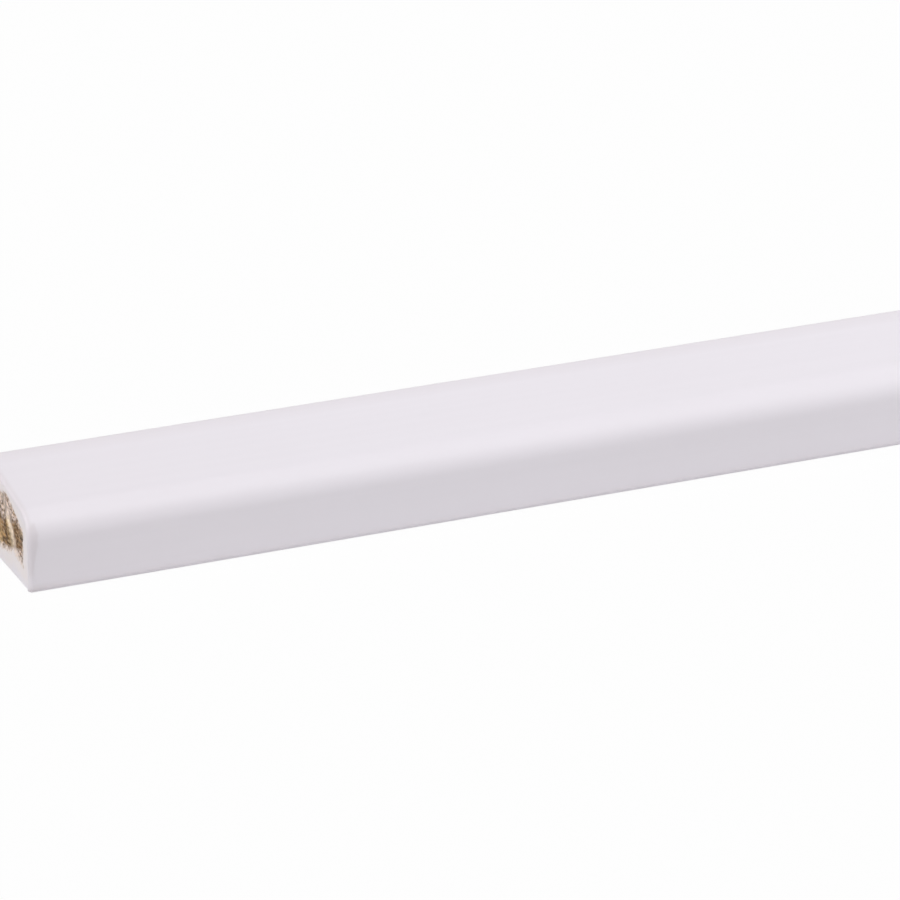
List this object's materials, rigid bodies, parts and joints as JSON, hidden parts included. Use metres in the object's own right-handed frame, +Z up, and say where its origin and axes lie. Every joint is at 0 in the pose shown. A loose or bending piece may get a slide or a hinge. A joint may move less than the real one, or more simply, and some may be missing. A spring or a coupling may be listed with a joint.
{
  "type": "glazing bead",
  "caption": "Straight wooden glazing bead, primed white, with a sloping top and a rounded front nose, that holds a pane in its rebate.",
  "frame": {"origin": "middle of the flat seat, halfway along the bead", "axes": "+X along the bead, +Y from the exposed front face to the face that bears on the glass, +Z up from the seat"},
  "size_m": [2.4, 0.02, 0.0149],
  "materials": {
    "primed_wood": "satin white primer, with bare sawn wood in the middle of the ends"
  },
  "bodies": {
    "root": {"glazing_bead": "primed_wood"}
  },
  "joints": []
}
